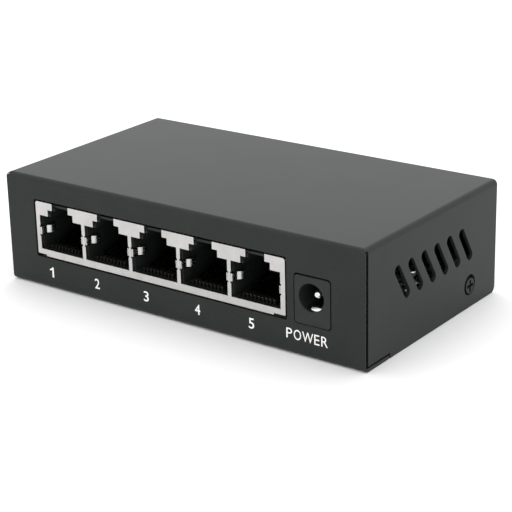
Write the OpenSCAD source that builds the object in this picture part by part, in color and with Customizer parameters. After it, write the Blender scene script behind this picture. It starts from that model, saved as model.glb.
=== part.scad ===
// Five-port desktop network switch in a folded sheet-steel case.
// Millimetres, +Z up. The front panel with the sockets faces -Y.
// Origin: middle of the case's width and depth, on the surface it stands on.

/* [Case] */
// Overall width of the case
case_w = 100; // [98:1:120]
// Overall depth of the case, front panel to rear edge
case_d = 55; // [54:1:80]
// Overall height of the case
case_h = 27; // [26.8:0.2:32]
// Thickness of the sheet steel
sheet_t = 0.8; // [0.6:0.1:1]
// Outer radius of the folds
fold_r = 1.2; // [1.1:0.1:2]
// Width of the open seams between the front panel and the side walls
seam_gap = 0.85; // [0.3:0.05:0.9]
// How far the front panel's bottom lip reaches back
lip_depth = 9.1; // [8:0.1:12]

/* [Side vents] */
// Number of slanted slots in each side wall
vent_count = 6; // [3:1:6]
// Distance from one slot to the next
vent_pitch = 5.35; // [4:0.05:5.6]
// Width of a slot
vent_w = 2.35; // [1.5:0.05:3]
// Overall length of a slot
vent_len = 9.6; // [6:0.1:11]
// Lean of a slot from upright, its top towards the front
vent_lean = 32; // [0:1:40]

/* [Network sockets] */
// Number of sockets in the row
port_count = 5; // [5:1:5]
// Distance from one socket to the next
port_pitch = 13.97; // [13.97:0.01:14.05]
// Width of the plug opening in the shield
port_w = 13; // [12.6:0.1:13.1]
// How far the socket block reaches back from the front panel
jack_depth = 18; // [16:0.5:20]
// How far the ground fingers bulge into an opening
finger_bulge = 1.2; // [0.9:0.05:1.3]

/* [Power socket] */
// Diameter of the round hole in the power socket
dc_bore_d = 6.3; // [6:0.1:6.5]
// Diameter of the contact pin in the middle of the hole
dc_pin_d = 2; // [1.6:0.1:2.5]

/* [Hidden] */
$fn = 48;
eps = 0.01;

// Colours
coat_color = [0.16, 0.16, 0.16];
zinc_color = [0.72, 0.72, 0.72];
nickel_color = [0.80, 0.79, 0.77];
gold_color = [0.83, 0.66, 0.30];
black_color = [0.05, 0.05, 0.05];
board_color = [0.05, 0.30, 0.14];

// Case: half sizes and the front and rear planes. The case is centred on the origin.
half_w = case_w / 2;
front_y = -case_d / 2;
rear_y = case_d / 2;
fold_in = fold_r - sheet_t;
inner_gap = 0.2;                           // between the cover's side walls and the tray
seam_top = case_h - 0.5;
edge_t = 0.2;                              // both edges of an open seam are thinned to this
edge_reach = 1;                            // depth of the thinned strip of a side wall
lip_gap = 0.45;                            // between the lip and the side wall above it
side_floor = sheet_t + lip_gap;            // lower edge of a side wall above the front lip
corner_r = 1.5;                            // rounded lower rear corner of a side wall

// Side vents, measured from the front panel and the ground
vent_first_y = front_y + 14.3;
vent_z = 15.65;

// Case screws: M3, low head in a cup of the side wall. The cup sits off the screw's axis.
screw_y = front_y + 43.7;
screw_z = 5;
cup_shift = [-0.45, 0.42];                 // the cup's centre from the screw's axis, in Y and Z
cup_r = 2.45;
cup_depth = 1.4;
cup_floor = 0.3;
head_r = 1.82;
head_h = 0.98;
head_sink = 0.1;                           // the head's face below the wall's outer face
screw_hole_r = 1.45;
shank_r = 1.2;
thread_r = 1.25;
screw_len = 3.6;

// Base tray
tray_half_w = half_w - sheet_t - inner_gap;
tray_floor_y = front_y + lip_depth + 0.4;
tray_front_y = front_y + 2;
tray_step_z = sheet_t + 0.1;               // the tray's front strip rests on the lip
tray_rear_y = rear_y - 0.2;
tray_top_z = case_h - sheet_t - 0.2;
flange_h = 9.6;
flange_y0 = front_y + 16;
flange_y1 = rear_y - 2.2;
boss_r = 4;
boss_len = 2.2;

// Circuit board
board_t = 1.6;
board_z = 7.5;                             // upper face
board_half_w = 46;
board_y0 = front_y + 1.7;
board_y1 = rear_y - 2.4;
board_hole_r = 1.6;
board_holes = [for (x = [-43.5, 43.5], y = [front_y + 5.2, rear_y - 6]) [x, y]];
standoff_r = 2.4;
rivet_r = 1.6;                             // the standoff's rivet in the tray

// Socket block: five openings side by side
block_x0 = -41.25;
block_x1 = 30;
block_z1 = 21.2;
shield_top = 20.9;                         // the top wall sits below the frame's upper edge
block_z0 = 8.3;
block_drop = 0.4;                          // middle of the lower edge sits this much lower
block_gap = 0.45;                          // black gap between the block and the front panel
first_port_x = -33.6;
shield_t = 0.3;
shield_y = front_y + 0.1;
port_z0 = 9.55;
shoulder_z = 17.9;
step_z = 19.5;
step_half_w = 3.9;
latch_half_w = 2.5;
latch_z = 20.5;
latch_cut = 2.4;                           // the shield's top wall is cut back over the latch
wall_lap = 0.25;                           // the plastic edge stands this far inside the shield's
cavity_depth = 13.5;
housing_y = shield_y + shield_t + 0.45;
housing_y1 = front_y + jack_depth - shield_t - 0.1;

// Socket insert and contact wires
insert_half_w = 5.3;
insert_z = 8.5;
insert_top = 9.66;
wire_pitch = 1.02;
wire_count = 8;
wire_w = 0.46;
wire_t = 0.3;
wire_y = front_y + 2;
wire_z = 10.16;
wire_reach = 8;
wire_rise = 20.5;                          // slope of the free wires

// Ground fingers: a plan outline, as [distance in from the opening's edge, depth]
finger_t = 0.25;
finger_h = 1.8;
finger_z = 14;
bend_r = 1.3;
bend_y = 3.1;                              // depth of the bulge's crest
finger_path = concat([[0.06, 0.125], [0.19, 0.14], [0.28, 0.4], [0.33, 1.7]],
                     [for (a = [60:-12:0]) [finger_bulge - bend_r * (1 - cos(a)), bend_y - bend_r * sin(a)]],
                     [[finger_bulge - 0.3, bend_y + 1.1]]);
pocket_depth = 5.2;
pocket_reach = 0.4;                        // pocket in the plastic wall, past the shield's edge
notch_h = 0.42;
notch_w = 0.22;

// Power socket
dc_x = 36.58;                              // axis of the bore
dc_z = 13.75;
dc_face_x = 36.85;                         // middle of the face
dc_w = 8.95;
dc_z0 = 7.55;
dc_z1 = 18.35;
dc_y = front_y + 0.1;
dc_flange = 3.4;
dc_depth = 14;
dc_bore_depth = 10;
dc_pin_tip = 2;
dc_cut = [9.45, 11.4];
dc_cut_x = dc_face_x + 0.1;
dc_cut_z = 13.1;
dc_cut_r = 0.9;
dc_slot_w = 3.8;
dc_spring_w = 2.7;
dc_spring_x = dc_x + 0.4;
dc_spring_t = 0.3;

// Magnetics and other board parts
former_w = 12.4;
former_d = 9.2;
former_h = 5.6;
former_y = front_y + 25.5;
led_first_x = -20;
led_pitch = 8;
led_count = 6;
led_z = board_z + 2.4;
led_r = 1;

function port_x(p) = first_port_x + (p - 1) * port_pitch;

// Rectangle with true round corners, centred
module rounded_rect(w, h, r) {
    square([w - 2 * r, h], center = true);
    square([w, h - 2 * r], center = true);
    for (x = [-1, 1], y = [-1, 1])
        translate([x * (w / 2 - r), y * (h / 2 - r)]) circle(r);
}

// Rectangle from one corner to the opposite one with a radius on each corner, in the order
// lower left, lower right, upper right, upper left; 0 leaves a corner square
module corner_rect(low, high, radii) {
    corners = [low, [high.x, low.y], high, [low.x, high.y]];
    inward = [[1, 1], [-1, 1], [-1, -1], [1, -1]];
    difference() {
        translate(low) square(high - low);
        for (i = [0:3]) if (radii[i] > 0)
            translate(corners[i]) difference() {
                r = radii[i];
                translate([inward[i].x > 0 ? -eps : -r, inward[i].y > 0 ? -eps : -r]) square(r + eps);
                translate(r * inward[i]) circle(r);
            }
    }
}

// Extrudes an outline drawn in X and Z along Y, from y0 to y1
module along_y(y0, y1) {
    translate([0, y1, 0]) rotate([90, 0, 0]) linear_extrude(y1 - y0) children();
}

// Extrudes an outline drawn in Y and Z along X, from x0 to x1
module along_x(x0, x1) {
    translate([x0, 0, 0]) rotate([90, 0, 90]) linear_extrude(x1 - x0) children();
}

// Box between two corners
module box(low, high) {
    translate(low) cube(high - low);
}

// Strip of constant thickness that follows a path of points
function unit(v) = v / norm(v);
function left_of(v) = [-v.y, v.x];
function path_normal(path, i) =
    let (a = path[max(i - 1, 0)], b = path[min(i + 1, len(path) - 1)]) left_of(unit(b - a));
module strip(path, t) {
    side = [for (i = [0:len(path) - 1]) path_normal(path, i) * t / 2];
    polygon(concat([for (i = [0:len(path) - 1]) path[i] + side[i]],
                   [for (i = [len(path) - 1:-1:0]) path[i] - side[i]]));
}

// ---- Case ----

// Solid block inside the cover's folds, with the sheet's thickness taken off
module cover_hollow() {
    intersection() {
        along_y(front_y - 1, rear_y + 1)
            corner_rect([-half_w + sheet_t, -1], [half_w - sheet_t, case_h - sheet_t],
                        [0, 0, fold_in, fold_in]);
        along_x(-half_w, half_w)
            corner_rect([front_y + sheet_t, sheet_t], [rear_y + 1, case_h - sheet_t],
                        [fold_in, 0, 0, fold_in]);
    }
    box([-half_w + sheet_t, front_y + lip_depth, -1], [half_w - sheet_t, rear_y + 1, sheet_t + eps]);
}

module cover_block() {
    intersection() {
        along_y(front_y, rear_y)
            corner_rect([-half_w, 0], [half_w, case_h], [0, 0, fold_r, fold_r]);
        along_x(-half_w, half_w)
            corner_rect([front_y, 0], [rear_y, case_h], [fold_r, corner_r, 0, fold_r]);
    }
}

// Open seams at the front corners: down the front edge of each side wall and back along the lip
module corner_seams() {
    reach = sheet_t + fold_in;
    for (side = [-1, 1]) {
        x0 = min(side * half_w + side * eps, side * (half_w - reach));
        x1 = max(side * half_w + side * eps, side * (half_w - reach));
        box([x0, front_y + edge_t, sheet_t], [x1, front_y + edge_t + seam_gap, seam_top]);
        thin_x = side * (half_w - edge_t);
        box([min(thin_x, side * (half_w - reach)), front_y + edge_t, sheet_t],
            [max(thin_x, side * (half_w - reach)), front_y + edge_t + seam_gap + edge_reach, seam_top - 0.8]);
        box([x0, front_y + edge_t, sheet_t], [x1, front_y + lip_depth + 0.4, side_floor]);
        box([x0, front_y + lip_depth, -1], [x1, front_y + lip_depth + 0.4, side_floor]);
    }
}

module vent_slot() {
    rotate([90 + vent_lean, 0, 0]) rotate([0, 90, 0]) linear_extrude(2 * case_w, center = true) {
        square([vent_w, vent_len - vent_w], center = true);
        for (s = [-1, 1]) translate([0, s * (vent_len - vent_w) / 2]) circle(vent_w / 2);
    }
}

// Everything that turns about a case screw's axis: +Z of the child points out of the side wall,
// and z = 0 is the wall's outer face. shift moves it in Y and Z.
module at_screws(shift = [0, 0]) {
    for (side = [-1, 1])
        translate([side * half_w, screw_y + shift.x, screw_z + shift.y]) rotate([0, side * 90, 0])
            children();
}

module front_cutouts() {
    translate([0, front_y + 2, 0]) rotate([90, 0, 0]) linear_extrude(4) {
        corner_rect([block_x0 - block_gap, block_z0 - block_drop - block_gap],
                    [block_x1 + block_gap, block_z1 + block_gap], [0.5, 0.5, 0.5, 0.5]);
        translate([dc_cut_x, dc_cut_z]) rounded_rect(dc_cut.x, dc_cut.y, dc_cut_r);
    }
}

module top_cover() {
    color(coat_color) difference() {
        union() {
            difference() {
                cover_block();
                cover_hollow();
            }
            at_screws(cup_shift) translate([0, 0, -cup_depth])
                cylinder(h = cup_depth - sheet_t / 2, r = cup_r + 0.5);
        }
        corner_seams();
        for (i = [0:vent_count - 1]) translate([0, vent_first_y + i * vent_pitch, vent_z]) vent_slot();
        at_screws(cup_shift) translate([0, 0, cup_floor - cup_depth])
            cylinder(h = cup_depth, r = cup_r);
        at_screws() translate([0, 0, -cup_depth - 1]) cylinder(h = cup_depth + 1, r = screw_hole_r);
        front_cutouts();
    }
}

// Floor, raised front strip and rear panel, folded from one sheet
module tray_sheet() {
    strip_top = tray_step_z + sheet_t;
    intersection() {
        along_x(-tray_half_w, tray_half_w) {
            difference() {
                corner_rect([tray_floor_y, 0], [tray_rear_y, tray_top_z], [0, fold_r, 0, 0]);
                corner_rect([tray_floor_y - 1, sheet_t], [tray_rear_y - sheet_t, tray_top_z + 1],
                            [0, fold_in, 0, 0]);
            }
            corner_rect([tray_floor_y, 0], [tray_floor_y + sheet_t, strip_top], [0, 0, 0, 0]);
            corner_rect([tray_front_y, tray_step_z], [tray_floor_y + sheet_t, strip_top], [0, 0, 0, 0]);
        }
        along_y(front_y, rear_y)
            corner_rect([-tray_half_w, 0], [tray_half_w, tray_top_z], [fold_r, fold_r, 0.5, 0.5]);
    }
}

// Side flanges, folded up from the floor against the cover's walls
module tray_flanges() {
    along_y(flange_y0, flange_y1) difference() {
        corner_rect([-tray_half_w, 0], [tray_half_w, flange_h], [fold_r, fold_r, 0, 0]);
        corner_rect([-tray_half_w + sheet_t, sheet_t], [tray_half_w - sheet_t, flange_h + 1],
                    [fold_in, fold_in, 0, 0]);
    }
}

module base_tray() {
    boss_face = -(sheet_t + inner_gap);
    color(coat_color) difference() {
        union() {
            tray_sheet();
            tray_flanges();
            at_screws() translate([0, 0, boss_face - boss_len]) cylinder(h = boss_len, r = boss_r);
        }
        at_screws(cup_shift) translate([0, 0, -cup_depth - 0.1]) cylinder(h = cup_depth, r = cup_r + 0.6);
        at_screws() translate([0, 0, boss_face - boss_len - 1]) cylinder(h = boss_len + 1, r = thread_r);
        for (i = [0:led_count - 1])
            translate([led_first_x + i * led_pitch, rear_y, led_z]) rotate([90, 0, 0])
                cylinder(h = 4, r = led_r + 0.2, center = true);
        for (h = board_holes) translate([h.x, h.y, -1]) cylinder(h = 3, r = rivet_r);
    }
}

// Cross recess of a screw head: +Z points out of the head, z = 0 is its face
module cross_recess(size, depth) {
    for (a = [0, 90]) rotate([0, 0, a]) translate([0, 0, -depth])
        linear_extrude(depth + 1) square([size, size * 0.27], center = true);
}

module case_screws() {
    color(coat_color) at_screws() translate([0, 0, -head_sink]) difference() {
        union() {
            translate([0, 0, -head_h]) cylinder(h = head_h, r = head_r);
            translate([0, 0, -screw_len]) cylinder(h = screw_len - head_h + 0.05, r = shank_r);
        }
        cross_recess(2.8, 0.8);
    }
}

module board_standoffs() {
    color(zinc_color) for (h = board_holes) {
        foot_z = h.y < tray_floor_y ? tray_step_z + sheet_t : sheet_t;
        translate([h.x, h.y, 0]) difference() {
            union() {
                translate([0, 0, foot_z]) cylinder(h = board_z - board_t - foot_z, r = standoff_r);
                translate([0, 0, foot_z - sheet_t]) cylinder(h = sheet_t + 1, r = rivet_r);
            }
            translate([0, 0, foot_z + 0.6]) cylinder(h = board_z, r = thread_r);
        }
    }
}

module board_screws() {
    color(zinc_color) for (h = board_holes) translate([h.x, h.y, board_z]) difference() {
        union() {
            cylinder(h = 1.6, r = 2.2);
            translate([0, 0, -5]) cylinder(h = 5 + eps, r = shank_r);
        }
        translate([0, 0, 1.6]) cross_recess(2.4, 1);
    }
}

module circuit_board() {
    color(board_color) difference() {
        translate([0, (board_y0 + board_y1) / 2, board_z - board_t])
            linear_extrude(board_t) rounded_rect(2 * board_half_w, board_y1 - board_y0, 1);
        for (h = board_holes) translate([h.x, h.y, 0]) cylinder(h = 20, r = board_hole_r);
    }
}

// ---- Network sockets ----

// Outline of one plug opening in X and Z, with grow added on every side but the floor
module port_outline(grow) {
    for (part = [[port_w / 2, port_z0, shoulder_z], [step_half_w, port_z0, step_z],
                 [latch_half_w, port_z0, latch_z]])
        translate([-part[0] - grow, part[1]])
            square([2 * (part[0] + grow), part[2] - part[1] + grow]);
}

// Relief notches above and below each ground finger's root
module finger_notches() {
    for (side = [-1, 1], up = [-1, 1])
        translate([side * port_w / 2, finger_z + up * (finger_h + notch_h) / 2])
            square([2 * notch_w, notch_h], center = true);
}

module jack_shield() {
    y1 = front_y + jack_depth;
    color(nickel_color) difference() {
        union() {
            // front frame, its lower edge dropped in the middle
            along_y(shield_y, shield_y + shield_t) {
                corner_rect([block_x0, block_z0], [block_x1, block_z1], [0.3, 0.3, 0.6, 0.6]);
                corner_rect([block_x0 + 2.6, block_z0 - block_drop], [block_x1 - 3, block_z0 + 1],
                            [0.2, 0.2, 0, 0]);
            }
            // top, side and rear walls
            difference() {
                box([block_x0, shield_y + shield_t, board_z], [block_x1, y1, shield_top]);
                box([block_x0 + shield_t, shield_y, board_z - 1],
                    [block_x1 - shield_t, y1 - shield_t, shield_top - shield_t]);
                box([block_x0 - 1, shield_y - 1, board_z - 1], [block_x1 + 1, board_y0, block_z0 + 1]);
                box([block_x0 + 1, y1 - 1, board_z - 1], [block_x1 - 1, y1 + 1, board_z + 1.6]);
            }
        }
        for (p = [1:port_count]) translate([port_x(p), 0, 0]) {
            along_y(shield_y - 1, shield_y + shield_t) {
                port_outline(0);
                finger_notches();
            }
            box([-latch_half_w, shield_y - 1, step_z], [latch_half_w, front_y + latch_cut, block_z1 + 1]);
        }
    }
}

module jack_housing() {
    color(black_color) difference() {
        union() {
            box([block_x0 + shield_t + 0.05, housing_y, board_z + 0.05],
                [block_x1 - shield_t - 0.05, housing_y1, shield_top - shield_t - 0.05]);
            // lip in the cut-back of the shield's top wall
            for (p = [1:port_count]) translate([port_x(p), 0, 0])
                box([0.05 - latch_half_w, housing_y, step_z],
                    [latch_half_w - 0.05, front_y + latch_cut - 0.05, shield_top - 0.1]);
        }
        for (p = [1:port_count]) translate([port_x(p), 0, 0]) {
            along_y(housing_y - 1, front_y + cavity_depth) port_outline(-wall_lap);
            // seat of the contact insert
            box([-insert_half_w - 0.05, housing_y - 1, insert_z - 0.05],
                [insert_half_w + 0.05, front_y + cavity_depth + 0.4, insert_top + 0.05]);
            // pockets that the ground fingers move into
            box([-port_w / 2 - pocket_reach, housing_y - 1, finger_z - finger_h / 2 - 0.2],
                [port_w / 2 + pocket_reach, front_y + pocket_depth, finger_z + finger_h / 2 + 0.2]);
        }
    }
}

// Solder feet behind the block, one per contact wire
module jack_pins() {
    color(gold_color) for (p = [1:port_count], k = [0:wire_count - 1])
        translate([port_x(p) + (k - (wire_count - 1) / 2) * wire_pitch, 0, 0])
            along_x(-wire_w / 2, wire_w / 2)
                strip([[housing_y1 + 0.05, board_z + 1], [housing_y1 + 0.7, board_z + 0.9],
                       [housing_y1 + 0.95, board_z + 0.2], [housing_y1 + 1.8, board_z + 0.16]], 0.25);
}

// Contact carrier: a floor plate with a comb of ribs that the wires come up between
module port_insert(p) {
    rib_w = wire_pitch - wire_w - 0.12;
    color(black_color) translate([port_x(p), 0, 0]) {
        box([-insert_half_w, housing_y, insert_z], [insert_half_w, front_y + cavity_depth + 0.3, insert_top]);
        for (k = [0:wire_count])
            translate([(k - wire_count / 2) * wire_pitch, 0, 0]) along_x(-rib_w / 2, rib_w / 2)
                corner_rect([housing_y + 0.4, insert_top - 0.1], [wire_y + 1, insert_top + 0.95],
                            [0, 0, 0.4, 0.4]);
    }
}

// Eight spring wires: a round root in the comb, a long slope and a tip that turns down
module port_contacts(p) {
    run = [cos(wire_rise), sin(wire_rise)];
    root = [wire_y, wire_z];
    tip = root + wire_reach * run;
    color(gold_color) for (k = [0:wire_count - 1])
        translate([port_x(p) + (k - (wire_count - 1) / 2) * wire_pitch, 0, 0])
            along_x(-wire_w / 2, wire_w / 2) {
                translate(root) circle(wire_t);
                strip([root, root + 2 * run, tip - 0.8 * run, tip - [0.2, 0.02], tip + [0.5, -0.35]], wire_t);
            }
}

// One ground finger. side is -1 at the left edge of the opening and 1 at the right edge.
module ground_finger(p, side) {
    color(nickel_color)
        translate([port_x(p), shield_y, finger_z - finger_h / 2]) linear_extrude(finger_h)
            strip([for (q = finger_path) [side * (port_w / 2 - q[0]), q[1]]], finger_t);
}

// ---- Power socket ----

module dc_jack_housing() {
    barrel_r = dc_w / 2 - 0.2;
    color(black_color) difference() {
        union() {
            translate([dc_face_x, 0, (dc_z0 + dc_z1) / 2]) along_y(dc_y, dc_y + dc_flange)
                rounded_rect(dc_w, dc_z1 - dc_z0, 0.7);
            along_y(dc_y + dc_flange - eps, front_y + dc_depth) {
                translate([dc_x, dc_z]) circle(barrel_r);
                translate([dc_x - barrel_r, dc_z0]) square([2 * barrel_r, dc_z - dc_z0]);
            }
        }
        translate([dc_x, dc_y - 1, dc_z]) rotate([-90, 0, 0]) cylinder(h = dc_bore_depth + 1, r = dc_bore_d / 2);
        // chamfered mouth
        translate([dc_x, dc_y - eps, dc_z]) rotate([-90, 0, 0])
            cylinder(h = 0.1, r1 = dc_bore_d / 2 + 0.1, r2 = dc_bore_d / 2);
        // slot of the sleeve spring, open into the bore
        box([dc_x - dc_slot_w / 2, dc_y + 0.9, dc_z0 + 1.4],
            [dc_x + dc_slot_w / 2, dc_y + dc_bore_depth + 1.5, dc_z]);
        // seat of the pin
        translate([dc_x, dc_y, dc_z]) rotate([-90, 0, 0]) cylinder(h = dc_depth, r = dc_pin_d / 2 + 0.02);
    }
}

module dc_center_pin() {
    r = dc_pin_d / 2;
    length = dc_depth - dc_pin_tip;
    color(nickel_color) translate([dc_x, dc_y + dc_pin_tip, dc_z]) rotate([-90, 0, 0])
        rotate_extrude() {
            translate([0, r]) intersection() {
                circle(r);
                translate([0, -0.85 * r]) square([r, r]);
            }
            translate([0, r]) square([r, length - r]);
        }
}

// Leaf that presses on a plug's sleeve: hinged at the back, its front end curled down
module dc_sleeve_spring() {
    bore = dc_z - dc_bore_d / 2;
    color(nickel_color)
        along_x(dc_spring_x - dc_spring_w / 2, dc_spring_x + dc_spring_w / 2)
            strip([[dc_y + 1.2, bore - 0.5], [dc_y + 1.4, bore + 0.05], [dc_y + 1.8, bore + 0.4],
                   [dc_y + 2.6, bore + 0.6], [dc_y + 4.6, bore + 0.68], [dc_y + 5.6, bore + 0.6],
                   [dc_y + 9.4, bore - 0.7]], dc_spring_t);
}

module dc_terminals() {
    color(nickel_color) {
        // rear tag of the pin
        box([dc_x - 1.2, front_y + dc_depth + 0.12, board_z], [dc_x + 1.2, front_y + dc_depth + 0.52, dc_z + 1.6]);
        // sleeve and switch tags
        for (x = [-2.6, 2.6])
            box([dc_x + x - 0.9, front_y + dc_depth + 0.12, board_z],
                [dc_x + x + 0.9, front_y + dc_depth + 0.42, board_z + 3]);
    }
}

// ---- Board parts ----

module port_transformer(p) {
    pin_pitch = 1.27;
    pins = 8;
    color(black_color) translate([port_x(p), former_y, board_z]) {
        translate([0, 0, 0.25]) linear_extrude(former_h - 0.25) rounded_rect(former_w, former_d, 0.4);
        for (k = [0:pins - 1], side = [-1, 1])
            translate([(k - (pins - 1) / 2) * pin_pitch, side * (former_d / 2 + 0.35), 0])
                box([-0.22, -0.5, 0], [0.22, 0.5, 0.35]);
    }
}

module switch_chip() {
    size = 14;
    pins = 20;
    pin_pitch = 0.62;
    color(black_color) translate([-8, front_y + 40.3, board_z]) {
        difference() {
            translate([0, 0, 0.15]) linear_extrude(1.35) rounded_rect(size, size, 0.3);
            translate([-size / 2 + 1.5, -size / 2 + 1.5, 1.4]) cylinder(h = 1, r = 0.5);
        }
        for (a = [0:90:270], k = [0:pins - 1])
            rotate([0, 0, a]) translate([(k - (pins - 1) / 2) * pin_pitch, size / 2 + 0.3, 0])
                box([-0.13, -0.5, 0], [0.13, 0.7, 0.3]);
    }
}

module config_memory() {
    color(black_color) translate([11, front_y + 38, board_z]) {
        translate([0, 0, 0.15]) linear_extrude(1.4) rounded_rect(4.9, 3.9, 0.2);
        for (k = [0:3], side = [-1, 1])
            translate([(k - 1.5) * 1.27, side * 2.3, 0]) box([-0.2, -0.5, 0], [0.2, 0.6, 0.35]);
    }
}

module clock_crystal() {
    color(zinc_color) translate([12, front_y + 45.3, board_z]) {
        linear_extrude(0.5) rounded_rect(11.4, 4.8, 2.3);
        linear_extrude(3.5) rounded_rect(10.4, 3.9, 1.9);
    }
}

module power_inductor() {
    color(black_color) translate([33, front_y + 31.5, board_z]) {
        linear_extrude(1) rounded_rect(7, 7, 1);
        cylinder(h = 3.4, r = 2.6);
        translate([0, 0, 2.9]) linear_extrude(1.1) rounded_rect(7, 7, 1.8);
    }
}

module voltage_regulator() {
    color(black_color) translate([30, front_y + 41, board_z]) {
        translate([0, 0, 0.15]) linear_extrude(1.6) rounded_rect(6.5, 3.5, 0.2);
        box([-1.5, 1.5, 0], [1.5, 3.4, 0.4]);
        for (x = [-2.3, 0, 2.3]) box([x - 0.35, -3.4, 0], [x + 0.35, -1.5, 0.4]);
    }
}

module protection_diode() {
    color(black_color) translate([33.4, front_y + 19, board_z]) {
        translate([0, 0, 0.1]) linear_extrude(2.1) rounded_rect(4.4, 2.6, 0.2);
        for (x = [-2.3, 2.3]) box([x - 0.4, -0.75, 0], [x + 0.4, 0.75, 0.5]);
    }
}

// Aluminium can on a plastic foot
module can_capacitor(r, h) {
    linear_extrude(1) rounded_rect(2 * r + 0.3, 2 * r + 0.3, 0.8);
    translate([0, 0, 0.9]) rotate_extrude() difference() {
        square([r, h - 0.9]);
        translate([r, 1.6]) circle(0.35);
        translate([r - 0.4, h - 1.3]) difference() {
            square(0.5);
            circle(0.4);
        }
    }
}

module input_capacitor() {
    color(zinc_color) translate([42.4, front_y + 28.5, board_z]) can_capacitor(3.15, 5.4);
}

module output_capacitor() {
    color(zinc_color) translate([20.5, front_y + 40, board_z]) can_capacitor(3.15, 5.8);
}

// Chip resistors and capacitors: two rows behind the transformers, a column beside the chip
module small_resistors() {
    places = concat([for (i = [0:7]) [-38 + 5 * i, front_y + 31.7]],
                    [for (i = [0:5]) [-24, front_y + 34.5 + 2.4 * i]],
                    [for (i = [0:3]) [20 + 2.6 * i, front_y + 46.8]]);
    color([0.35, 0.3, 0.25]) for (q = places)
        translate([q.x, q.y, board_z]) {
            box([-0.8, -0.4, 0], [0.8, 0.4, 0.5]);
            for (s = [-1, 1]) translate([s * 0.75, 0, 0]) box([-0.2, -0.42, 0], [0.2, 0.42, 0.55]);
        }
}

// Right-angle lamps on the board, their lenses in the rear panel's holes
module status_leds() {
    color([0.75, 0.85, 0.70]) for (i = [0:led_count - 1])
        translate([led_first_x + i * led_pitch, 0, 0]) {
            box([-1.4, rear_y - 6.5, board_z], [1.4, rear_y - 3.4, led_z + 1.3]);
            translate([0, rear_y - 3.5, led_z]) rotate([-90, 0, 0]) {
                cylinder(h = 2.4, r = led_r);
                translate([0, 0, 2.4]) rotate_extrude() intersection() {
                    circle(led_r);
                    square([led_r, led_r * 0.8]);
                }
            }
        }
}

top_cover();
base_tray();
case_screws();
board_standoffs();
board_screws();
circuit_board();
jack_shield();
jack_housing();
jack_pins();
for (p = [1:port_count]) {
    port_insert(p);
    port_contacts(p);
    ground_finger(p, -1);
    ground_finger(p, 1);
    port_transformer(p);
}
dc_jack_housing();
dc_center_pin();
dc_sleeve_spring();
dc_terminals();
switch_chip();
config_memory();
clock_crystal();
power_inductor();
voltage_regulator();
protection_diode();
input_capacitor();
output_capacitor();
small_resistors();
status_leds();
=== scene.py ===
"""Five-port desktop network switch: finishes, printed legends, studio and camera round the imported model."""

import math

import bpy
from mathutils import Matrix, Vector


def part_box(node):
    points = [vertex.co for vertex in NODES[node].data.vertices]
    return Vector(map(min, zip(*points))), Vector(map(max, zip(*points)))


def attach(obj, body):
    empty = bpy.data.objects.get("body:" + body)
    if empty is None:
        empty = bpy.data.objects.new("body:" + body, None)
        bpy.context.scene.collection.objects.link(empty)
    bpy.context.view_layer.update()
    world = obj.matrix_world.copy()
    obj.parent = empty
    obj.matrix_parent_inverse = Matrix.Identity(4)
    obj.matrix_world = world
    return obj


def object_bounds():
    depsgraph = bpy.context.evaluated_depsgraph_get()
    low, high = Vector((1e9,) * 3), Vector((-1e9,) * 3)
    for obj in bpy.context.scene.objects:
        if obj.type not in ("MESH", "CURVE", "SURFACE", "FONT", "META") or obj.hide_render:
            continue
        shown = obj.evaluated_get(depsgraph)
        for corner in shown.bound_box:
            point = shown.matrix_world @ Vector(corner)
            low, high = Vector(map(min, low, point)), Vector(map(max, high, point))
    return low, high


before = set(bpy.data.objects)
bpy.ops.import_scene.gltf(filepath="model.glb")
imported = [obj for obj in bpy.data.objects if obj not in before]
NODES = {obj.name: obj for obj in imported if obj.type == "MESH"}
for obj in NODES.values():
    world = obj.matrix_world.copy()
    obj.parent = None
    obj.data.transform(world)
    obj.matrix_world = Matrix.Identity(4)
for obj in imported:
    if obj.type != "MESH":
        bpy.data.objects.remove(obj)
cad_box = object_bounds()

MM = 0.001
PORTS = range(1, 6)
FRONT = cad_box[0].y                        # the front panel's outer face

# Camera: its direction from the target in degrees, its distance in metres, and its framing.
# The target lies on the front panel's plane.
VIEW_AZIMUTH = 37.854
VIEW_ELEVATION = 19.504
VIEW_ROLL = -1.762
VIEW_DISTANCE = 0.34523
TARGET_X, TARGET_Z = 0.013886, 0.024333
LENS = 113.83
LENS_SHIFT = (0.066, -0.0495)

# Colours of the black and plated parts
BLACK_STEEL = (0.0220, 0.0257, 0.0236, 1)
BLACK_SCREW = (0.020, 0.0225, 0.021, 1)
RUBBED_EDGE = (0.048, 0.050, 0.048, 1)
ZINC = (0.68, 0.69, 0.70, 1)
SHIELD_NICKEL = (0.56, 0.55, 0.54, 1)
FINGER_NICKEL = (0.66, 0.65, 0.64, 1)
BRIGHT_NICKEL = (0.84, 0.83, 0.81, 1)
CRYSTAL_STEEL = (0.70, 0.70, 0.69, 1)
CAN_ALUMINIUM = (0.82, 0.82, 0.83, 1)
JACK_NYLON = (0.0125, 0.0150, 0.0145, 1)
# The inserts' black nylon, darker than the housing's: its own black plus painted shade deep in the sockets
INSERT_NYLON_WITH_PAINTED_SHADE = (0.004, 0.0043, 0.0042, 1)
DC_PLASTIC = (0.0155, 0.0175, 0.0165, 1)

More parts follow.
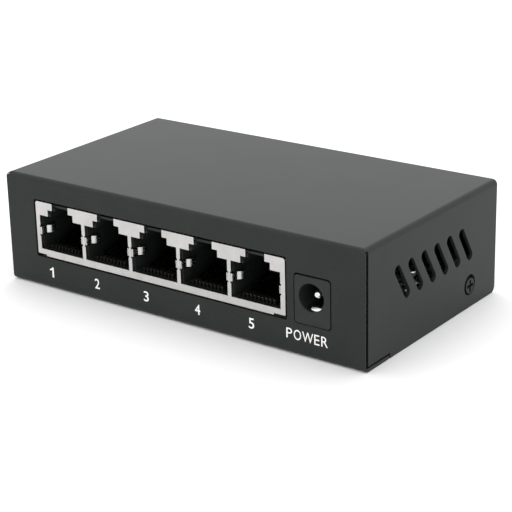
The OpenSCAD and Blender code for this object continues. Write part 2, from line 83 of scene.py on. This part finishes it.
# Printed legends on the front panel, in millimetres
FIGURE_2_X = -23.05                         # middle of the figure 2, from which the others are counted
FIGURE_PITCH = 14.7
FIGURE_Z = 4.15                             # height of the figures' middles at BASELINE_X
BASELINE_X = -37.2
BASELINE_RISE = 0.0072                      # the row of figures climbs by this much per millimetre
FIGURE_SIZE = (2.45, 1.45)                  # height and width
FIGURE_WEIGHT = 0.008                       # the figures are this much bolder than the built-in font
FIGURE_1_SHIFT = 0.5
FIGURE_1_SIZE = (2.5, 1.2)
POWER_LETTERS = (                           # each letter, its left edge and its width
    ("P", 30.22, 1.5), ("O", 32.15, 1.85), ("W", 34.3, 2.8), ("E", 37.35, 1.3), ("R", 39.1, 1.65))
POWER_Z = 4.7
POWER_HEIGHT = 2.3
INK_LIFT = 0.00001                          # half the ink's thickness, in metres
GLYPH_DEPTH = 0.01                          # half a glyph's thickness before it is scaled to the ink's

# Studio
WORLD_STRENGTH = 1.42
OVERHEAD_PLACE = (-0.3, 0.6, 1.1)
OVERHEAD_SIZE = 1.0
OVERHEAD_POWER = 2


# ---- Camera ----

def make_camera():
    """The viewing angle: off to the right of the front panel, a little above it, with a slight roll."""
    azimuth, elevation, roll = (math.radians(angle) for angle in (VIEW_AZIMUTH, VIEW_ELEVATION, VIEW_ROLL))
    target = Vector((TARGET_X, FRONT, TARGET_Z))
    back = Vector((math.sin(azimuth) * math.cos(elevation), -math.cos(azimuth) * math.cos(elevation),
                   math.sin(elevation)))
    right = Vector((math.cos(azimuth), math.sin(azimuth), 0))
    up = back.cross(right)
    turn = Matrix.Rotation(roll, 3, back)
    right, up = turn @ right, turn @ up
    data = bpy.data.cameras.new("camera")
    data.sensor_width = 36
    data.lens = LENS
    data.shift_x, data.shift_y = LENS_SHIFT
    data.clip_start, data.clip_end = 0.01, 20
    camera = bpy.data.objects.new("camera", data)
    camera.matrix_world = Matrix((right, up, back)).transposed().to_4x4()
    camera.location = target + back * VIEW_DISTANCE
    bpy.context.scene.collection.objects.link(camera)
    bpy.context.scene.camera = camera


# ---- Materials ----

def scaled(colour, factor):
    """The colour made darker or paler by a factor."""
    return tuple(min(1, c * factor) for c in colour[:3]) + (1,)


class Finish:
    """A node material with a few short helpers. Constant values sit on the shader's own sockets."""

    def __init__(self, name, **sockets):
        self.material = bpy.data.materials.new(name)
        self.material.use_nodes = True
        self.tree = self.material.node_tree
        self.shader = self.tree.nodes["Principled BSDF"]
        for label, value in sockets.items():
            self.shader.inputs[label.replace("_", " ")].default_value = value
        self.place = self.add("ShaderNodeTexCoord").outputs["Object"]

    def add(self, kind, links=(), **values):
        """A node of this kind. values set its settings or inputs, and links its linked inputs."""
        node = self.tree.nodes.new(kind)
        for label, value in values.items():
            if hasattr(node, label):
                setattr(node, label, value)
            else:
                node.inputs[label.replace("_", " ")].default_value = value
        for label, source in dict(links).items():
            self.tree.links.new(source, node.inputs[label])
        return node

    def drive(self, label, source):
        """Links a node's output to one of the shader's sockets."""
        self.tree.links.new(source, self.shader.inputs[label])

    def stretched(self, scale):
        """Object coordinates scaled by different amounts along X, Y and Z."""
        return self.add("ShaderNodeMapping", {"Vector": self.place}, Scale=scale).outputs[0]

    def noise(self, size, detail=2.0, place=None, roughness=0.5):
        """Noise whose features are about size metres across, 0 to 1."""
        links = {"Vector": place or self.place}
        node = self.add("ShaderNodeTexNoise", links, Scale=1 / size, Detail=detail, Roughness=roughness)
        return node.outputs["Fac"]

    def spread(self, source, low, high, start=0.3, end=0.7):
        """source from start to end, as a value from low to high."""
        limits = {"From_Min": start, "From_Max": end, "To_Min": low, "To_Max": high}
        return self.add("ShaderNodeMapRange", {"Value": source}, **limits).outputs[0]

    def blend(self, amount, first, second):
        """Mix of two colours. Each is a tuple or a node's output."""
        node = self.add("ShaderNodeMix", {"Factor": amount}, data_type="RGBA")
        for index, colour in ((6, first), (7, second)):     # the node's two colour inputs
            if isinstance(colour, tuple):
                node.inputs[index].default_value = colour
            else:
                self.tree.links.new(colour, node.inputs[index])
        return node.outputs[2]

    def maths(self, operation, first, second):
        """An arithmetic operation on two values. Each is a number or a node's output."""
        node = self.add("ShaderNodeMath", operation=operation)
        for index, value in ((0, first), (1, second)):
            if isinstance(value, (int, float)):
                node.inputs[index].default_value = value
            else:
                self.tree.links.new(value, node.inputs[index])
        return node.outputs[0]

    def coordinate(self, axis):
        """The object coordinate along axis 0, 1 or 2, in metres."""
        return self.add("ShaderNodeSeparateXYZ", {"Vector": self.place}).outputs[axis]

    def inside(self, low, high):
        """1 within the box from low to high, else 0."""
        mask = None
        for axis in range(3):
            value = self.coordinate(axis)
            both = self.maths("MULTIPLY", self.maths("GREATER_THAN", value, low[axis]),
                              self.maths("LESS_THAN", value, high[axis]))
            mask = both if mask is None else self.maths("MULTIPLY", mask, both)
        return mask

    def edges(self, radius):
        """About 1 on sharp edges, fading to 0 at radius from them."""
        soft = self.add("ShaderNodeBevel", Radius=radius, samples=4).outputs[0]
        flat = self.add("ShaderNodeNewGeometry").outputs["Normal"]
        dot = self.add("ShaderNodeVectorMath", operation="DOT_PRODUCT")
        self.tree.links.new(soft, dot.inputs[0])
        self.tree.links.new(flat, dot.inputs[1])
        return self.spread(dot.outputs["Value"], 1, 0, 0.75, 0.98)

    def relief(self, bumps, rounding=0.0):
        """Bumps in order, each a (height source, depth in metres), on edges rounded by a radius."""
        normal = self.add("ShaderNodeBevel", Radius=rounding, samples=4).outputs[0] if rounding else None
        for height, depth in bumps:
            links = {"Height": height}
            if normal is not None:
                links["Normal"] = normal
            normal = self.add("ShaderNodeBump", links, Strength=1.0, Distance=depth).outputs[0]
        self.drive("Normal", normal)


def powder_coat(name, colour):
    """Satin black powder coat: a fine orange-peel skin with a faint mottle, rubbed lighter on its edges."""
    f = Finish(name, IOR=1.45, Specular_IOR_Level=0.116)
    peel, grain, cloud = f.noise(0.00045, 3), f.noise(0.00013, 2), f.noise(0.009, 3)
    mottle = f.blend(f.spread(cloud, 0, 1), scaled(colour, 0.86), colour)
    speck = f.blend(f.spread(grain, 0, 1, 0.45, 0.75), mottle, scaled(colour, 1.3))
    rub = f.maths("MULTIPLY", f.edges(0.00022), f.spread(f.noise(0.0016, 4), 0.1, 1, 0.45, 0.65))
    f.drive("Base Color", f.blend(rub, speck, RUBBED_EDGE))
    f.drive("Roughness", f.maths("ADD", f.spread(grain, 0.29, 0.39), f.spread(cloud, -0.012, 0.012)))
    f.relief([(peel, 0.000011), (grain, 0.000004)], 0.00012)
    return f.material


def sheet_metal(name, colour, rough, brush_scale, rounding=0.00006):
    """Plated sheet metal with a fine rolled grain, small scuffs and slightly darker patches."""
    f = Finish(name, Metallic=1.0)
    grain = f.noise(1, 2, f.stretched(brush_scale))
    cloud, scuff = f.noise(0.0035, 4), f.noise(0.0006, 5, roughness=0.65)
    f.drive("Base Color", f.blend(f.spread(cloud, 0, 0.8), colour, scaled(colour, 0.86)))
    streak = f.spread(grain, rough - 0.07, rough + 0.07)
    f.drive("Roughness", f.maths("ADD", streak, f.spread(scuff, 0, 0.10, 0.5, 0.75)))
    f.relief([(grain, 0.0000016), (scuff, 0.0000012)], rounding)
    return f.material


def moulded(name, colour, rough, **sockets):
    """Moulded plastic with a spark-eroded texture and faint flow marks."""
    f = Finish(name, **sockets)
    grain, flow = f.noise(0.00022, 3), f.noise(0.004, 3, f.stretched((1, 0.4, 2)))
    f.drive("Base Color", f.blend(f.spread(flow, 0, 1), colour, scaled(colour, 1.3)))
    texture = f.spread(grain, rough - 0.05, rough + 0.05)
    f.drive("Roughness", f.maths("ADD", texture, f.spread(flow, -0.03, 0.03)))
    f.relief([(grain, 0.000005)], 0.00012)
    return f.material


def gold_plate(name):
    """Thin gold plate on drawn wire, with darker wiping marks."""
    f = Finish(name, Metallic=1.0)
    draw, wear = f.noise(1, 2, f.stretched((9000, 900, 900))), f.noise(0.0007, 3)
    f.drive("Base Color", f.blend(f.spread(wear, 0, 1), (0.21, 0.165, 0.09, 1), (0.14, 0.11, 0.065, 1)))
    f.drive("Roughness", f.spread(draw, 0.14, 0.26))
    f.relief([(draw, 0.0000010)])
    return f.material


def solder_mask(name):
    """Green solder mask over copper traces, with the laminate's bare edge."""
    low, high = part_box("circuit_board")
    skin = 0.00004
    f = Finish(name, Coat_Weight=0.3, Coat_Roughness=0.12)
    bricks = f.add("ShaderNodeTexBrick", {"Vector": f.place}, Scale=420.0, Mortar_Size=0.13,
                   Mortar_Smooth=0.1, Brick_Width=1.7, Row_Height=0.42, Color1=(1, 1, 1, 1),
                   Color2=(0.6, 0.6, 0.6, 1), Mortar=(0, 0, 0, 1))
    weave = f.noise(1, 1, f.stretched((2600, 2600, 2600)))
    copper = f.maths("MULTIPLY", bricks.outputs["Color"], 0.75)
    mask = f.blend(copper, (0.006, 0.075, 0.030, 1), (0.020, 0.17, 0.060, 1))
    z = f.coordinate(2)
    face = f.maths("ADD", f.maths("GREATER_THAN", z, high.z - skin), f.maths("LESS_THAN", z, low.z + skin))
    edge = f.blend(f.spread(weave, 0, 1), (0.30, 0.27, 0.13, 1), (0.20, 0.20, 0.09, 1))
    f.drive("Base Color", f.blend(face, edge, mask))
    f.drive("Roughness", f.maths("SUBTRACT", f.spread(weave, 0.24, 0.36), f.maths("MULTIPLY", face, 0.05)))
    f.relief([(f.maths("MULTIPLY", copper, face), 0.00002), (weave, 0.000002)])
    return f.material


def leaded(name, body, low, high, rough=0.5, grain_size=0.0002):
    """A moulded or ceramic body inside the box from low to high, and tinned leads outside it."""
    f = Finish(name)
    grain, tin = f.noise(grain_size, 3), f.noise(0.0005, 3)
    mask = f.inside(low, high)
    lead = f.blend(f.spread(tin, 0, 1), (0.62, 0.62, 0.60, 1), (0.48, 0.48, 0.47, 1))
    f.drive("Base Color", f.blend(mask, lead, f.blend(f.spread(grain, 0, 1), body, scaled(body, 1.35))))
    f.drive("Metallic", f.maths("SUBTRACT", 1.0, mask))
    duller = f.maths("MULTIPLY", mask, rough - 0.26)
    f.drive("Roughness", f.maths("ADD", f.spread(grain, 0.22, 0.34), duller))
    f.relief([(grain, 0.000004)], 0.00008)
    return f.material


def lamp_resin(name):
    """Milky resin lens on a darker lamp body."""
    lens_depth = 0.0023
    f = Finish(name, Transmission_Weight=0.25, Subsurface_Weight=0.3, Subsurface_Scale=0.001)
    haze = f.noise(0.0008, 2)
    milk = f.blend(f.spread(haze, 0, 1), (0.62, 0.74, 0.60, 1), (0.72, 0.82, 0.70, 1))
    body = f.maths("LESS_THAN", f.coordinate(1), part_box("status_leds")[1].y - lens_depth)
    f.drive("Base Color", f.blend(body, milk, (0.35, 0.42, 0.34, 1)))
    f.drive("Roughness", f.spread(haze, 0.22, 0.34))
    f.relief([(f.noise(0.0003, 2), 0.000004)])
    return f.material


def legend_ink(name):
    """Screen-printed white ink: slightly uneven and faintly rough."""
    f = Finish(name)
    grain, cover = f.noise(0.00012, 2), f.noise(0.0006, 3)
    f.drive("Base Color", f.blend(f.spread(cover, 0, 1), (0.90, 0.90, 0.88, 1), (0.80, 0.80, 0.78, 1)))
    f.drive("Roughness", f.spread(grain, 0.42, 0.58))
    f.relief([(grain, 0.000003)])
    return f.material


def dress(material, *names):
    """Gives the named nodes one material."""
    for name in names:
        mesh = NODES[name].data
        mesh.materials.clear()
        mesh.materials.append(material)


def each_port(pattern):
    """The five node names that a pattern stands for."""
    return [pattern.format(p) for p in PORTS]


def shrunk(name, x, y, bottom=0.0):
    """The node's box less x and y on each side and bottom on its underside, all in millimetres."""
    low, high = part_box(name)
    margin = Vector((x, y, 0)) * MM
    return low + margin + Vector((0, 0, bottom * MM)), high - margin + Vector((0, 0, 0.0001))


def finish_case():
    dress(powder_coat("black_powder_coat", BLACK_STEEL), "top_cover", "base_tray")
    dress(powder_coat("black_screw_coat", BLACK_SCREW), "case_screws")
    dress(sheet_metal("zinc_plate", ZINC, 0.32, (700, 700, 2600)), "board_standoffs", "board_screws")


def finish_sockets():
    dress(sheet_metal("satin_nickel", SHIELD_NICKEL, 0.36, (350, 3000, 6000)), "jack_shield")
    dress(sheet_metal("finger_nickel", FINGER_NICKEL, 0.26, (6000, 900, 6000), 0.00003),
          *each_port("port_{}_left_finger"), *each_port("port_{}_right_finger"))
    dress(moulded("jack_nylon", JACK_NYLON, 0.5, Specular_IOR_Level=0.2), "jack_housing")
    # The inserts get the housing's black nylon darkened further, as painted shade deep in the sockets
    dress(moulded("insert_nylon_painted_shade", INSERT_NYLON_WITH_PAINTED_SHADE, 0.7, Specular_IOR_Level=0.1), *each_port("port_{}_insert"))
    dress(gold_plate("contact_gold_plate"), "jack_pins", *each_port("port_{}_contacts"))
    dress(moulded("dc_housing_plastic", DC_PLASTIC, 0.4, Specular_IOR_Level=0.22), "dc_jack_housing")
    dress(sheet_metal("bright_nickel", BRIGHT_NICKEL, 0.16, (5000, 700, 5000), 0.00002),
          "dc_center_pin", "dc_sleeve_spring", "dc_terminals")


def finish_board():
    dress(solder_mask("green_solder_mask"), "circuit_board")
    low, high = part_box("port_1_transformer")[0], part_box("port_5_transformer")[1]
    dress(leaded("magnetics_epoxy", (0.012, 0.012, 0.013, 1), low + Vector((-1, 0.85, 0)) * MM,
                 high + Vector((1, -0.85, 1)) * MM), *each_port("port_{}_transformer"))
    for name, colour, x, y in (("switch_chip", (0.020, 0.020, 0.021, 1), 1.0, 1.0),
                               ("config_memory", (0.022, 0.022, 0.022, 1), 0, 0.95),
                               ("voltage_regulator", (0.020, 0.020, 0.020, 1), 0, 1.65),
                               ("protection_diode", (0.024, 0.024, 0.024, 1), 0.5, 0)):
        dress(leaded(name + "_epoxy", colour, *shrunk(name, x, y, 0.1)), name)
    dress(leaded("ferrite_core", (0.045, 0.045, 0.048, 1), *shrunk("power_inductor", -0.1, -0.1, -0.1), 0.7,
                 0.0004), "power_inductor")
    low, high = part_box("small_resistors")
    dress(leaded("resistor_ceramic", (0.035, 0.030, 0.026, 1), low - Vector((MM,) * 3),
                 high - Vector((-1, -1, 0.04)) * MM, 0.6), "small_resistors")
    dress(sheet_metal("crystal_steel", CRYSTAL_STEEL, 0.26, (500, 3000, 3000)), "clock_crystal")
    dress(sheet_metal("can_aluminium", CAN_ALUMINIUM, 0.24, (600, 600, 5000), 0.00012),
          "input_capacitor", "output_capacitor")
    dress(lamp_resin("lamp_resin"), "status_leds")


# ---- Printed legends ----

def print_mesh(name, mesh, centre, height, width):
    """A glyph's mesh as thin raised ink on the front panel, its box centred on (x, z) in millimetres."""
    xs, ys = [v.co.x for v in mesh.vertices], [v.co.y for v in mesh.vertices]
    tall, wide = height * MM / (max(ys) - min(ys)), width * MM / (max(xs) - min(xs))
    middle = Vector(((max(xs) + min(xs)) / 2, (max(ys) + min(ys)) / 2, 0))
    for v in mesh.vertices:
        x, y, z = v.co - middle
        lift = INK_LIFT * (1 + z / GLYPH_DEPTH)
        v.co = (centre[0] * MM + x * wide, FRONT - lift, centre[1] * MM + y * tall)
    piece = bpy.data.objects.new(name, mesh)
    bpy.context.scene.collection.objects.link(piece)
    piece.data.materials.clear()
    piece.data.materials.append(INK)
    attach(piece, "enclosure")


def glyph(name, text, centre, height, width, weight=0.0):
    """One printed character from the built-in font."""
    curve = bpy.data.curves.new(name, "FONT")
    curve.body = text
    curve.offset = weight
    curve.extrude = GLYPH_DEPTH
    source = bpy.data.objects.new(name + "_curve", curve)
    bpy.context.scene.collection.objects.link(source)
    mesh = bpy.data.meshes.new_from_object(source.evaluated_get(bpy.context.evaluated_depsgraph_get()))
    bpy.data.objects.remove(source)
    print_mesh(name, mesh, centre, height, width)


def figure_one(name, centre, height, width):
    """The figure one: a stem with a flag, which the built-in font draws as a plain bar."""
    outline = [(0.55, 0), (0.92, 0), (0.92, 2.3), (0.62, 2.3),
               (0.38, 1.98), (0, 1.8), (0, 1.45), (0.55, 1.7)]
    count = len(outline)
    verts = [(x, y, z) for z in (-GLYPH_DEPTH, GLYPH_DEPTH) for x, y in outline]
    sides = [(i, (i + 1) % count, (i + 1) % count + count, i + count) for i in range(count)]
    mesh = bpy.data.meshes.new(name)
    mesh.from_pydata(verts, [], [tuple(range(count))[::-1], tuple(range(count, 2 * count)), *sides])
    mesh.update()
    print_mesh(name, mesh, centre, height, width)


def make_legends():
    """The figures 1 to 5 under the sockets, and the word under the power socket letter by letter."""
    for p in PORTS:
        x = FIGURE_2_X + (p - 2) * FIGURE_PITCH
        z = FIGURE_Z + (x - BASELINE_X) * BASELINE_RISE
        if p == 1:
            figure_one("legend_1", (x + FIGURE_1_SHIFT, z), *FIGURE_1_SIZE)
        else:
            glyph(f"legend_{p}", str(p), (x, z), *FIGURE_SIZE, FIGURE_WEIGHT)
    for letter, left, width in POWER_LETTERS:
        glyph("legend_power_" + letter.lower(), letter, (left + width / 2, POWER_Z), POWER_HEIGHT, width)


# ---- Studio ----

def make_floor():
    mesh = bpy.data.meshes.new("floor")
    half, z = 3.0, -0.0001
    corners = [(-half, -half, z), (half, -half, z), (half, half, z), (-half, half, z)]
    mesh.from_pydata(corners, [], [(0, 1, 2, 3)])
    floor = bpy.data.objects.new("floor", mesh)
    bpy.context.scene.collection.objects.link(floor)
    f = Finish("floor_white", Roughness=0.9, Specular_IOR_Level=0.1)
    f.drive("Base Color", f.blend(f.noise(0.05, 2), (0.86, 0.86, 0.86, 1), (0.88, 0.88, 0.88, 1)))
    mesh.materials.append(f.material)


def area_light(name, location, size, power):
    """A round lamp that faces the object."""
    data = bpy.data.lights.new(name, "AREA")
    data.shape = "DISK"
    data.size = size
    data.energy = power
    light = bpy.data.objects.new(name, data)
    light.location = location
    light.rotation_mode = "QUATERNION"
    light.rotation_quaternion = (Vector(location) - Vector((0, 0, 0.01))).to_track_quat("Z", "Y")
    bpy.context.scene.collection.objects.link(light)


def make_studio():
    scene = bpy.context.scene
    scene.world = bpy.data.worlds.new("studio")
    scene.world.use_nodes = True
    background = scene.world.node_tree.nodes["Background"]
    background.inputs["Color"].default_value = (1, 1, 1, 1)
    background.inputs["Strength"].default_value = WORLD_STRENGTH
    area_light("overhead", OVERHEAD_PLACE, OVERHEAD_SIZE, OVERHEAD_POWER)
    scene.view_settings.view_transform = "Standard"
    make_floor()


make_camera()
INK = legend_ink("legend_ink")
finish_case()
finish_sockets()
finish_board()
make_legends()
make_studio()
